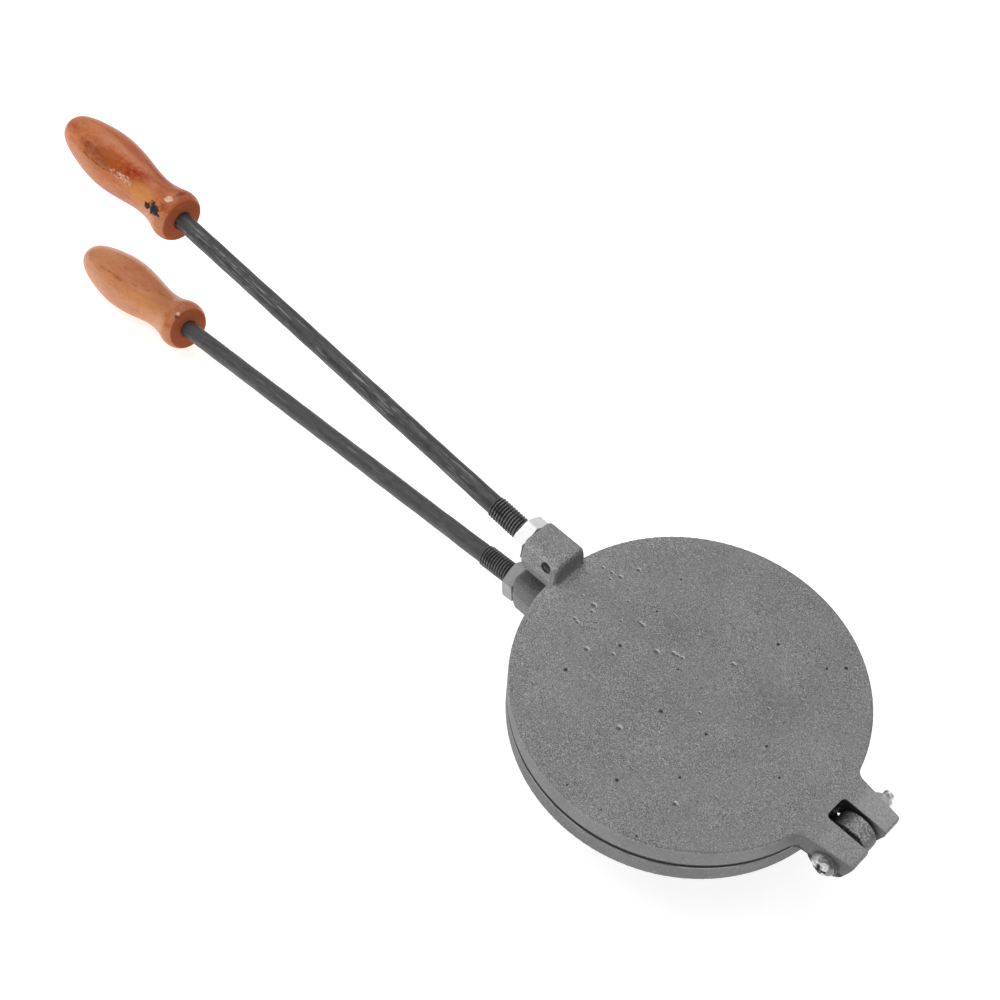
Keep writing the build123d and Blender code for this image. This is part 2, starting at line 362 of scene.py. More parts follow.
# Cast iron. A border is a place and its softness, in millimetres: along the iron towards the
# hinge, across it towards +Y, up from the lower plate's underside, or out from a middle.

IRON_DARK, IRON_LIGHT = 0.085, 0.335
IRON_METAL = 0.25
UPPER_ROUGHNESS, BLISTER_ROUGHNESS, LOWER_ROUGHNESS = 0.62, 0.60, 0.60
IRON_RELIEF = 0.22
LOWER_TONE = 0.80
# Painted highlight: the grey of glints on the iron, and of the lighter ear tops
PAINTED_HIGHLIGHT_GREY = (0.60, 0.60, 0.61)
FLECK_GREY = (0.66, 0.66, 0.67)
# Painted highlight: the light grey of glints on the coarse casting
ROUGH_GLINT_GREY = (0.56, 0.56, 0.56)
# Light grey of the knuckle's wear, also used for painted highlights on the lower rim and the blisters' far
# side
WEAR_AND_HIGHLIGHT_GREY = (0.60, 0.60, 0.60)
# Dark grey of the grain's dark flecks, and of painted shade on the near side by the hinge
DARK_FLECK_AND_SHADE = (0.030, 0.030, 0.031)
BLISTER_SHADOW = (0.030, 0.030, 0.030)
# Painted shade: the black at the knuckle's inner end and low on its sides
KNUCKLE_SHADE_BLACK = (0.010, 0.010, 0.010)
# Painted shade: the black in the slot, the side hole and on the boss's inner face
SLOT_SHADE_BLACK = (0.008, 0.008, 0.008)
# Painted shade: the black inside the pits
PIT_SHADE_BLACK = (0.008, 0.008, 0.009)
# Painted shade: the black of the seam between the plates and of the pocket under the ear
SEAM_SHADE_BLACK = (0.006, 0.006, 0.006)

# On both castings, where a rise is a distance from the plane between the plates
FLAT_FACE_RISE = (11.0, 0.4)
HINGE_HALF = (50.0, 90.0)
SEAM_RISE = (1.4, 0.6)
SEAM_RADIUS = (73.5, 0.6)
SEAM_POCKET = (73.5, -17.5, PARTING_HEIGHT)
SEAM_POCKET_REACH = (3.0, 3.0)
# Where painted shade darkens the near side of both castings next to the hinge
SHADED_SIDE_ALONG = (68.0, 12.0)
SHADED_SIDE_ACROSS = (-11.2, 2.0)
SHADED_SIDE_RISE = (11.4, 0.8)

# On the upper casting's boss, side hole, ears and slot
HANDLE_HALF = (-50.0, 30.0)
FOOT_END = (-64.5, 10.0)
FOOT_START = (-73.5, 2.0)
FOOT_MIDDLE, FOOT_REACH = 1.0, (17.0, 10.0)
FOOT_TOP = (29.0, 3.0)
BOSS_NEAR_SIDE = (-3.5, 4.0)
BOSS_EDGE_HEIGHT, BOSS_EDGE_REACH = 34.5, (1.6, 1.4)
BOSS_INNER_START = (-72.2, 0.6)
BOSS_INNER_BOTTOM = (25.0, 1.0)
BOSS_INNER_END = (-68.0, 0.4)
SIDE_HOLE = (-77.8, 0.0, 30.8)
SIDE_HOLE_RADIUS = (2.75, 0.2)
SIDE_HOLE_MOUTH = (-5.6, 0.4)
EAR_START = (80.0, 4.0)
EAR_BOTTOM = (24.0, 0.4)
FAR_EAR = (0.0, 4.0)
SLOT_MIDDLE, SLOT_REACH = -1.0, (5.9, 0.2)
SLOT_START = (75.0, 0.4)
SLOT_TOP = (23.8, 0.8)
SLOT_SHADE_END = (90.5, 12.0)

# On the lower casting's lip and knuckle
LIP_HEIGHT, LIP_REACH = PARTING_HEIGHT - 1.5, (0.3, 0.3)
LIP_RADIUS = (74.4, 0.4)
KNUCKLE_START = (77.5, 1.0)
KNUCKLE_BOTTOM = (10.0, 4.0)
KNUCKLE_WEAR_AND_GLINT_END = (92.5, 1.2)
KNUCKLE_SHADE_END = (83.5, 9.0)
KNUCKLE_MIDDLE, KNUCKLE_REACH = -0.3, (3.7, 0.6)
KNUCKLE_FLANK_TOP = (23.0, 2.0)

# Pits in the upper plate's top: along, across and radius, in millimetres
PITS = [
    (-39.2, -33.2, 0.80),
    (0.8, -19.1, 0.72),
    (40.1, 52.7, 0.72),
    (-31.8, -8.1, 0.64),
    (9.4, -54.7, 0.64),
    (34.6, 46.5, 0.48),
    (13.2, 41.0, 0.64),
    (40.4, -0.1, 0.48),
    (20.2, -13.7, 0.56),
    (25.6, -35.8, 0.48),
    (52.7, -7.2, 0.48),
    (-13.0, 5.6, 0.48),
    (-7.6, 0.7, 0.40),
    (-36.6, 36.0, 0.40),
    (-32.8, 16.0, 0.40),
    (-2.6, -70.5, 0.40),
    (13.8, -68.5, 0.32),
    (30.6, -66.6, 0.48),
    (4.9, 1.2, 0.32),
]
PIT_SOFTNESS = 0.8


def cast_iron(name, tone, pits):
    """As-cast grey iron: grain, clouds and flecks, painted glints, and painted shade along the seam between
    the plates and in the pits.

    The flat faces are grainier than the walls. Painted light makes them lighter than the walls, and lightest
    at the hinge."""
    iron = Finish(name)
    along, across, height = iron.parts(iron.place)
    rise = (height - PARTING_HEIGHT * MM).size()
    radius = iron.length_of(iron.place, 1.0, 1.0, 0.0)
    flat = rise.past(FLAT_FACE_RISE)

    grain = iron.noise(2100.0, detail=3.0, roughness=0.8)
    clouds = iron.noise(38.0, detail=4.0, roughness=0.6)
    unevenness = iron.noise(70.0, detail=3.0, roughness=0.6).above(0.5, 0.4) * 0.75 + 0.65
    shade = (grain - 0.5) * unevenness * (flat * 3.3 + 1.3) + (clouds - 0.5) * 0.7
    # Painted light: flat faces lighter than the walls, and the hinge half lighter still
    shade = shade + 0.42 + flat * 0.24 + along.past(HINGE_HALF) * 0.14
    dark, light = IRON_DARK * tone, IRON_LIGHT * tone
    colour = iron.ramp(shade, (0.0, (dark, dark, dark * 1.03)), (1.0, (light, light, light * 1.02)))

    # Painted highlight: sparse glints in the cells, stronger on the flat faces
    painted_glint = iron.part(iron.cells(2600.0, "Color"), "X").above(0.90, 0.06) * (flat * 0.75 + 0.25)
    colour = iron.blend(painted_glint * unevenness * 0.45, colour, PAINTED_HIGHLIGHT_GREY)
    flecks = iron.cells(1500.0).below(0.30, 0.20)
    chance = iron.cells(1500.0, "Color")
    bright_fleck = flecks * iron.part(chance, "X").above(0.955, 0.01)
    dark_fleck = flecks * iron.part(chance, "Y").above(0.955, 0.01)
    colour = iron.blend(bright_fleck * 0.9, colour, FLECK_GREY)
    colour = iron.blend(dark_fleck * 0.6, colour, DARK_FLECK_AND_SHADE)

    # Painted shade: black along the seam between the plates, and in a pocket where the lower rim passes under
    # the ear
    seam = rise.before(SEAM_RISE) * radius.past(SEAM_RADIUS)
    seam = seam.largest(iron.spot(SEAM_POCKET, SEAM_POCKET_REACH))
    colour = iron.blend(seam * 0.95, colour, SEAM_SHADE_BLACK)
    # Painted shade: the near side by the hinge, low down, darker
    shaded_near_side = along.past(SHADED_SIDE_ALONG) * across.before(SHADED_SIDE_ACROSS) * rise.before(SHADED_SIDE_RISE)
    colour = iron.blend(shaded_near_side * 0.36, colour, DARK_FLECK_AND_SHADE)

    swelling = iron.cells(300.0).below(0.25, 0.25) * iron.noise(32.0, detail=1.0).above(0.60, 0.08)
    relief = grain * 0.8 + swelling * 1.1 + clouds * 0.4
    # Painted shade darkens each pit, and the relief dips there
    for x, y, size in pits:
        hole = iron.spot((x, y, PLATE_TOP), (size, size * PIT_SOFTNESS))
        colour = iron.blend(hole * 0.9, colour, PIT_SHADE_BLACK)
        relief = relief - hole * 2.0
    return iron, colour, relief


def upper_iron():
    """The upper casting: pitted top, painted glints on the coarse boss and ears, and painted shade in the
    slot, in the side hole and on the boss's inner face.
    """
    iron, colour, relief = cast_iron("upper_cast_iron", 1.0, PITS)
    along, across, height = iron.parts(iron.place)
    sparkle = iron.noise(1300.0, detail=2.0, roughness=0.7)

    foot = along.before(FOOT_END) * along.past(FOOT_START)
    foot = foot * across.near(FOOT_MIDDLE, FOOT_REACH) * height.before(FOOT_TOP)
    edge = across.before(BOSS_NEAR_SIDE) * height.near(BOSS_EDGE_HEIGHT, BOSS_EDGE_REACH)
    ear = along.past(EAR_START) * height.past(EAR_BOTTOM)
    # Painted highlight: glints on the coarse boss, its foot and near top edge, the ears and the handle half
    rough_glints = along.before(HANDLE_HALF) * sparkle.above(0.60, 0.08) * 0.5
    rough_glints = rough_glints.largest(foot.largest(edge) * sparkle.above(0.52, 0.12) * 0.75)
    rough_glints = rough_glints.largest(ear * sparkle.above(0.58, 0.12) * 0.40)
    colour = iron.blend(rough_glints, colour, ROUGH_GLINT_GREY)
    # Painted light: the ear tops lighter, the far ear most
    colour = iron.blend(ear * across.past(FAR_EAR) * 0.14 + ear * 0.05, colour, PAINTED_HIGHLIGHT_GREY)

    # Painted shade: dark in the slot between the ears, in the side hole and on the boss's inner face
    painted_shade = across.near(SLOT_MIDDLE, SLOT_REACH) * along.past(SLOT_START)
    painted_shade = painted_shade * height.before(SLOT_TOP) * along.before(SLOT_SHADE_END)
    from_hole = iron.vector("SUBTRACT", iron.place, metres(SIDE_HOLE))
    in_hole = iron.length_of(from_hole, 1.0, 0.0, 1.0).before(SIDE_HOLE_RADIUS)
    painted_shade = painted_shade.largest(in_hole * across.before(SIDE_HOLE_MOUTH))
    boss_inner = along.past(BOSS_INNER_START) * along.before(BOSS_INNER_END)
    painted_shade = painted_shade.largest(boss_inner * height.past(BOSS_INNER_BOTTOM) * 0.35)
    colour = iron.blend(painted_shade * 0.93, colour, SLOT_SHADE_BLACK)

    iron.set(Base_Color=colour, Metallic=IRON_METAL, Roughness=UPPER_ROUGHNESS)
    iron.set(Normal=iron.bump(relief, IRON_RELIEF))
    return iron.material


def blister_iron():
    """The upper casting's finish on its blisters, with painted light on their far side and painted shadow on
    their near one.

    The piece carries the slope of its surface across the plate as an attribute."""
    iron, colour, relief = cast_iron("blister_cast_iron", 1.0, [])
    slope = iron.add("ShaderNodeAttribute", {"attribute_name": "slope"}, {}, "Fac")
    # Painted light on the blisters' far side, and painted shadow on their near side
    colour = iron.blend(slope.above(0.20, 0.50), colour, WEAR_AND_HIGHLIGHT_GREY)
    colour = iron.blend(slope.below(-0.45, 0.50) * 0.60, colour, BLISTER_SHADOW)
    iron.set(Base_Color=colour, Metallic=IRON_METAL, Roughness=BLISTER_ROUGHNESS)
    iron.set(Normal=iron.bump(relief, IRON_RELIEF))
    return iron.material


def lower_iron():
    """The lower casting: darker, with a painted highlight along its rim, wear and painted glints on its
    knuckle, and painted shade at the knuckle's inner end and low on its sides.
    """
    iron, colour, relief = cast_iron("lower_cast_iron", LOWER_TONE, [])
    along, across, height = iron.parts(iron.place)
    radius = iron.length_of(iron.place, 1.0, 1.0, 0.0)
    # Painted highlight: a broken bright line around the lower plate's wall just under the seam
    lip = height.near(LIP_HEIGHT, LIP_REACH) * radius.past(LIP_RADIUS)
    lip = lip * iron.noise(60.0, detail=2.0).above(0.48, 0.10)
    colour = iron.blend(lip * 0.5, colour, WEAR_AND_HIGHLIGHT_GREY)

    knuckle = along.past(KNUCKLE_START) * height.past(KNUCKLE_BOTTOM)
    # The knuckle's wear: smoother there, and painted lighter as glints
    wear_and_glints = iron.noise(1100.0, detail=3.0, roughness=0.65).above(0.52, 0.16)
    wear_and_glints = wear_and_glints * knuckle * along.before(KNUCKLE_WEAR_AND_GLINT_END)
    colour = iron.blend(wear_and_glints * 0.75, colour, WEAR_AND_HIGHLIGHT_GREY)
    # Painted shade: the knuckle's inner end, and its sides below the top, dark
    flank = (1 - across.near(KNUCKLE_MIDDLE, KNUCKLE_REACH)) * height.before(KNUCKLE_FLANK_TOP)
    painted_shade = knuckle * along.before(KNUCKLE_SHADE_END).largest(flank)
    colour = iron.blend(painted_shade * 0.9, colour, KNUCKLE_SHADE_BLACK)

    relief = relief + iron.noise(700.0, detail=2.0, roughness=0.6) * knuckle * 2.5
    iron.set(Base_Color=colour, Metallic=IRON_METAL, Roughness=LOWER_ROUGHNESS - wear_and_glints * 0.25)
    iron.set(Normal=iron.bump(relief, IRON_RELIEF))
    return iron.material


# Blackened steel. How far a rod is lightened, and how strong its scratches are

ROD_LIFT = {UPPER: 0.0, LOWER: 0.35}
ROD_SCRATCHES = {UPPER: 0.8, LOWER: 0.3}
STEEL_STOPS = ((0.3, (0.042, 0.042, 0.043)), (0.75, (0.088, 0.088, 0.091)))
LIGHT_STEEL = (0.115, 0.115, 0.117)
SCRATCH_GREY = (0.28, 0.28, 0.285)
CREST_GREY = (0.30, 0.295, 0.29)
CREST_RADIUS = (5.0, 0.4)
STEEL_RELIEF = 0.10


def black_steel(name, side):
    """Blackened bar, rubbed lighter in thin streaks along its length and on its thread's crests."""
    steel = Finish(name)
    place = steel.place_along(rod_point(side, 0.0), -rod_along(side))
    streaks = steel.drawn_noise(place, 45.0, 1500.0, detail=3.0, roughness=0.65)
    scuffs = steel.drawn_noise(place, 140.0, 500.0, detail=3.0, roughness=0.6)
    scratch = streaks.above(0.60, 0.10) * scuffs.above(0.42, 0.2)
    threaded = steel.part(place, "X").past((-THREAD_END, 1.0))
    crest = steel.length_of(place, 0.0, 1.0, 1.0).past(CREST_RADIUS) * threaded
    colour = steel.blend(ROD_LIFT[side], steel.ramp(scuffs, *STEEL_STOPS), LIGHT_STEEL)
    colour = steel.blend(scratch * ROD_SCRATCHES[side], colour, SCRATCH_GREY)
    colour = steel.blend(crest * scuffs.above(0.45, 0.2) * 0.8, colour, CREST_GREY)
    steel.set(Base_Color=colour, Metallic=0.4, Roughness=0.5 - scratch * 0.12)
    steel.set(Normal=steel.bump(streaks * 0.6 + scuffs, STEEL_RELIEF))
    return steel.material


# Zinc. Each plated piece has the name of its finish, its tone and the strength of its tarnish

PLATED = {
    "upper_lock_nut": ("bright_zinc", 1.0, 0.0),
    # The lower lock nut's zinc: lightly tarnished, with its low tone painted shade, a darker copy of the
    # upper nut's
    "lower_lock_nut": ("shaded_tarnished_zinc", 0.34, 0.15),
    "hinge_screw": ("screw_zinc", 0.90, 0.85),
    "hinge_nut": ("hinge_nut_zinc", 0.9, 0.25),
}
ZINC_LOW, ZINC_HIGH = 0.88, 0.98
TARNISH_GREY = (0.10, 0.10, 0.10)
ZINC_RELIEF = 0.03


def zinc(name, tone, tarnish):
    """Zinc plating: clean metal with faint cloudy spangle, and dark tarnish where it is worn."""
    plating = Finish(name)
    spangle = plating.noise(260.0, detail=3.0, roughness=0.6)
    patches = plating.noise(230.0, detail=2.0, roughness=0.55).above(0.50, 0.14) * tarnish
    low, high = ZINC_LOW * tone, ZINC_HIGH * tone
    colour = plating.ramp(spangle, (0.3, (low, low, low * 0.99)), (0.7, (high, high, high)))
    ripple = plating.noise(2600.0, detail=2.0) * 0.4 + patches * 2.0
    plating.set(Base_Color=plating.blend(patches, colour, TARNISH_GREY), Metallic=0.6)
    plating.set(Roughness=spangle * 0.1 + 0.25 - patches * 0.1, Normal=plating.bump(ripple, ZINC_RELIEF))
    return plating.material


# Lacquered wood. Places on a grip are its station, in millimetres from the tip, and its angle in
# degrees, from the level direction towards +Y. A reach is in millimetres.

WOOD_STOPS = (
    (0.26, (0.340, 0.066, 0.022)),
    (0.42, (0.530, 0.150, 0.052)),
    (0.56, (0.640, 0.226, 0.094)),
    (0.74, (0.670, 0.290, 0.140)),
)
KNOT_STOPS = ((0.4, (0.012, 0.010, 0.010)), (1.0, (0.060, 0.056, 0.060)))
PALE_WOOD = (0.680, 0.340, 0.165)
PORE_BROWN = (0.240, 0.050, 0.014)
COLLAR_BROWN = (0.380, 0.095, 0.034)
END_GRAIN = (0.330, 0.078, 0.034)
RED_STAIN = (0.330, 0.042, 0.007)
DEEP_RED_STAIN = (0.340, 0.028, 0.005)
# An orange stain of the wood, also used for painted orange glints on the lower collar
ORANGE_STAIN_AND_GLINT = (0.480, 0.100, 0.012)
# Painted sheen: the rose haze of the lacquer on the upper side
ROSE_SHEEN = (0.420, 0.130, 0.085)
DARK_STAIN = (0.120, 0.022, 0.006)
AMBER_STAIN = (0.740, 0.320, 0.085)
# Painted highlight: the pale pink of glints on chips and along the grain
PINK_GLINT = (0.900, 0.600, 0.480)

PALENESS = {UPPER: 0.0, LOWER: 0.4}
COLLAR_WIDTH = 5.2
COLLAR_WAVER = 2.0
COLLAR_SOFTNESS = 0.6
BARE_WIDTH = 0.5
BARE_SOFTNESS = 0.5
PATCH_RAGGEDNESS = 1.6
BROAD_REACH = 2.1
BROAD_SOFTNESS, CRISP_SOFTNESS = 1.3, 0.4
WOOD_RELIEF = 0.10

# Stains, painted glints and painted sheen: station, angle, reach, the share by which they are drawn out
# along, colour and strength
STAINS_AND_PAINTED_LIGHT = {
    UPPER: [
        (42.0, 136.0, 9.0, 0.22, ORANGE_STAIN_AND_GLINT, 0.12),
        # Painted sheen: a rose haze along the upper side
        (46.0, 62.0, 8.0, 0.18, ROSE_SHEEN, 0.35),
        (31.0, 138.0, 3.6, 0.28, RED_STAIN, 0.35),
        (38.6, 127.0, 3.8, 0.25, DARK_STAIN, 0.65),
        (43.0, 121.0, 3.0, 0.25, DARK_STAIN, 0.45),
        (50.4, 115.0, 4.6, 0.26, ORANGE_STAIN_AND_GLINT, 0.95),
        (59.6, 113.0, 4.0, 0.42, DEEP_RED_STAIN, 1.15),
        (70.0, 99.0, 3.2, 0.35, RED_STAIN, 0.40),
        (67.0, 133.0, 4.8, 0.55, AMBER_STAIN, 0.75),
        (49.0, 156.0, 2.2, 0.20, ORANGE_STAIN_AND_GLINT, 0.40),
        (28.0, 147.0, 0.4, 0.02, DARK_STAIN, 0.65),
        (84.7, 123.0, 2.2, 0.80, RED_STAIN, 0.75),
        # Painted highlight: the pink glint on the chip
        (83.8, 104.0, 1.9, 0.90, PINK_GLINT, 1.1),
        (85.0, 136.0, 0.5, 0.15, DARK_STAIN, 1.3),
        (84.5, 72.0, 4.5, 4.50, DARK_STAIN, 0.55),
    ],
    LOWER: [
        (60.0, 90.0, 5.0, 0.25, RED_STAIN, 0.25),
        (28.0, 126.5, 0.4, 0.05, RED_STAIN, 0.50),
        (41.0, 123.5, 0.5, 0.06, RED_STAIN, 0.55),
        (53.0, 114.0, 0.4, 0.06, RED_STAIN, 0.50),
        (41.2, 123.0, 1.8, 0.30, ORANGE_STAIN_AND_GLINT, 0.40),
        (48.5, 94.0, 4.5, 0.30, ORANGE_STAIN_AND_GLINT, 0.25),
        (64.0, 139.0, 4.5, 0.30, AMBER_STAIN, 0.45),
        # Painted highlights: orange glints along the collar's edge
        (86.2, 123.0, 1.6, 0.80, ORANGE_STAIN_AND_GLINT, 0.60),
        (89.3, 144.0, 1.4, 0.60, ORANGE_STAIN_AND_GLINT, 0.70),
        (90.8, 113.0, 1.0, 0.80, DARK_STAIN, 0.95),
        # Painted highlight: the pink glint on the chip
        (90.2, 105.0, 1.0, 0.80, PINK_GLINT, 1.0),
    ],
}

# Pale specks of painted highlight, and black knots: station, angle and reach
GLINT_SPECKS = {UPPER: [(50.0, 138.0, 1.4), (55.5, 134.0, 1.7)], LOWER: []}
GLINT_SPECK_LENGTH_SHARE = 0.30
KNOTS = {UPPER: [(78.8, 143.0, 2.7), (74.6, 150.0, 1.5)], LOWER: []}
KNOT_LENGTH_SHARE = 0.55
KNOT_RAGGEDNESS = 1.6


def lacquered_wood(name, side):
    """Turned wood under satin lacquer: soft long bands, fine pores, stains, knots and end grain, with painted
    glints and painted sheen.

    The lacquer is thin where the wood is stained, chipped or cut across, and under the painted glints and
    sheen."""
    wood = Finish(name)
    place = wood.place_along(handle_tip(side), -handle_outward(side))
    station = wood.part(place, "X")
    fibres = wood.drawn_noise(place, 30.0, 620.0, detail=3.0, roughness=0.6)
    bands = wood.drawn_noise(place, 16.0, 95.0, detail=3.0, roughness=0.5)
    pores = wood.drawn_noise(place, 110.0, 2400.0, detail=2.0, roughness=0.6).above(0.62, 0.08)
    grit = wood.drawn_noise(place, 260.0, 900.0, detail=3.0, roughness=0.7).above(0.46, 0.45) * 0.6 + 0.4
    wobble = wood.noise(260.0, detail=3.0, roughness=0.65) - 0.5

    colour = wood.ramp(bands * 0.95 + fibres * 0.35 - 0.15, *WOOD_STOPS)
    colour = wood.blend(PALENESS[side], colour, PALE_WOOD)
    colour = wood.blend(pores * 0.4, colour, PORE_BROWN)
    collar_edge = (HANDLE_LENGTH[side] - COLLAR_WIDTH) * MM + wobble * (COLLAR_WAVER * MM)
    collar = station.above(collar_edge, COLLAR_SOFTNESS * MM)
    colour = wood.blend(collar * 0.30, colour, COLLAR_BROWN)

    dull = pores * 0.3
    # Stains, and painted glints and sheen, each thinning the lacquer
    for at, angle, reach, length_share, tint, strength in STAINS_AND_PAINTED_LIGHT[side]:
        softness = BROAD_SOFTNESS if reach > BROAD_REACH else CRISP_SOFTNESS
        cover = wood.patch(place, side, at, angle, reach, length_share, wobble, softness) * grit * strength
        colour = wood.blend(cover, colour, tint)
        dull = dull.largest(cover)
    # Painted highlight: pale pink specks broken along the grain
    for at, angle, reach in GLINT_SPECKS[side]:
        spread = wood.patch(place, side, at, angle, reach, GLINT_SPECK_LENGTH_SHARE, wobble, CRISP_SOFTNESS)
        specks = wood.drawn_noise(place, 700.0, 1500.0, detail=2.0, roughness=0.7).above(0.54, 0.12)
        colour = wood.blend(spread * specks * 0.65, colour, PINK_GLINT)

    bare = station.past((HANDLE_LENGTH[side] - BARE_WIDTH, BARE_SOFTNESS))
    colour = wood.blend(bare * 0.85, colour, END_GRAIN)
    for at, angle, reach in KNOTS[side]:
        ragged = wobble * KNOT_RAGGEDNESS
        knot = wood.patch(place, side, at, angle, reach, KNOT_LENGTH_SHARE, ragged, CRISP_SOFTNESS)
        colour = wood.blend(knot, colour, wood.ramp(grit, *KNOT_STOPS))
        bare = bare.largest(knot)
    dull = dull.largest(bare)

    wood.set(Base_Color=colour, Roughness=0.5 - bands * 0.1, Specular_IOR_Level=0.0)
    wood.set(Coat_Weight=0.65 - dull * 0.6, Coat_Roughness=0.24)
    wood.set(Normal=wood.bump(fibres * 0.4 - pores * 0.5 + wobble * 0.8, WOOD_RELIEF))
    return wood.material


# Surfaces, in millimetres and radians

SHARP_ANGLE = np.radians(50)
ROD_COLUMNS, SHANK_ROWS, ROWS_IN_PITCH = 72, 130, 12
ROD_CHAMFER = 1.0
THREAD_STEEPNESS = 1.4
THREAD_RUN_OUT = (THREAD_END - 1.6, THREAD_END + 0.6)
SHANK_ENDS = (THREAD_END + 1.6, HANDLE_FACE + 2.0)
SHANK_TO_TANG = (HANDLE_FACE - 6.0, HANDLE_FACE - 1.0)
SHANK_WAVES = [(0.05, 0.093, 2.0, 0.0), (0.04, 0.31, -1.0, 1.0)]
GRIP_COLUMNS, GRIP_ROWS, EDGE_ROWS, FACE_ROWS = 168, 190, 15, 9
GRIP_CROWDING, CROWDED_ANGLE = 0.6, np.radians(135)
GRIP_WAVES = [(0.006, 0.0, 2.0, 1.0), (0.004, 0.11, 1.0, 0.0)]
ROUND_TIP = (4.0, 9.0)
RIPPLE_HEIGHT, RIPPLE_ALONG, RIPPLE_AROUND = 0.35, 2.3, 2.9
BORE_CHAMFER = 0.4
POLE_RADIUS = 0.001

# Dents: station and angle in degrees on a grip, then length, width and depth
DENTS = {
    UPPER: [(79.5, 144.0, 3.6, 2.6, 0.6), (85.5, 136.0, 3.0, 0.5, 0.5), (83.8, 104.0, 1.8, 1.8, 0.35)],
    LOWER: [(90.0, 113.0, 1.2, 1.6, 0.35), (89.0, 100.0, 1.0, 1.4, 0.2)],
}

# Blisters on the upper plate's top: along, across and radius
BLISTERS = np.array(
    [
        (-63.8, 15.9, 0.9),
        (-59.5, 16.8, 0.9),
        (-55.4, 17.9, 1.1),
        (-57.7, 13.8, 0.8),
        (-52.5, 26.5, 1.0),
        (-57.4, 40.5, 0.7),
        (-53.2, -1.2, 1.3),
        (-51.7, -4.1, 1.0),
        (-60.0, -1.1, 0.8),
        (-54.0, -12.1, 1.0),
        (-52.2, -12.6, 1.0),
        (-32.2, 6.5, 1.2),
        (-33.7, 6.5, 0.9),
        (-44.4, 11.1, 0.7),
        (-40.9, 25.6, 0.6),
        (-39.9, 1.4, 0.6),
        (-40.2, -19.4, 1.3),
        (-30.9, -13.2, 1.0),
        (-14.0, 5.5, 1.2),
        (-12.0, 6.0, 0.9),
        (-10.0, 6.5, 1.0),
        (-19.4, 1.0, 1.3),
        (6.5, 19.8, 1.1),
        (-5.7, -36.9, 1.4),
        (31.8, -45.5, 1.2),
        (21.0, -20.0, 0.7),
        (12.0, -8.0, 0.8),
        (30.0, 14.0, 0.7),
    ]
)
BLISTER_ROWS, BLISTER_COLUMNS = 8, 22
BLISTER_RISE = 0.4
BLISTER_FOOT_SHARE, BLISTER_FOOT_LIFT = 0.9, -0.5
SLOPE_GAIN = 3.0


def piece_from_rings(name, stacks, material, body):
    """Joins stacks of rings of points, in millimetres, into one piece, each stack a closed surface.

    Each ring is linked to the next by quads, and each end ring to its own mean point by a fan."""
    count, rows, columns = stacks.shape[:3]
    here = np.arange(rows * columns).reshape(rows, columns)
    beside = np.roll(here, -1, axis=1)
    quads = np.stack([here[:-1], beside[:-1], beside[1:], here[1:]], axis=-1).reshape(-1, 4)
    first = np.full(columns, rows * columns)
    fans = np.concatenate(
        [np.stack([beside[0], here[0], first], axis=-1), np.stack([here[-1], beside[-1], first + 1], axis=-1)]
    )
    points = np.concatenate([stacks.reshape(count, -1, 3), stacks[:, [0, -1]].mean(axis=2)], axis=1) * MM
    starts = np.arange(count)[:, None, None] * points.shape[1]
    faces = (starts + quads).reshape(-1, 4).tolist() + (starts + fans).reshape(-1, 3).tolist()
    mesh = bpy.data.meshes.new(name)
    mesh.from_pydata(points.reshape(-1, 3).tolist(), [], faces)
    mesh.shade_smooth()
    mesh.set_sharp_from_angle(angle=SHARP_ANGLE)
    mesh.materials.append(material)
    piece = bpy.data.objects.new(name, mesh)
    bpy.context.scene.collection.objects.link(piece)
    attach(piece, body)
    return piece


def rings_about_axis(origin, along, stations, turns, radii):
    """Points at a station along an axis, turned about it from the level and moved out by a radius.

    stations has one value for each row, turns one for each column, and radii one for each point."""
    across, upward = across_and_up(along)
    outward = np.cos(turns)[:, None] * across + np.sin(turns)[:, None] * upward
    return origin + stations[:, None, None] * along + radii[:, :, None] * outward


def smooth_step(values, start, end):
    """0 before the start, 1 after the end, and 3t^2 - 2t^3 between them."""
    share = np.clip((values - start) / (end - start), 0.0, 1.0)
    return share * share * (3.0 - 2.0 * share)


def slow_waves(station, turn, side, waves):
    """The sum of some sines, each of a station, a turn and a side by its own factors."""
    return sum(
        height * np.sin(by_station * station + by_turn * turn + by_side * side)
        for height, by_station, by_turn, by_side in waves
    )


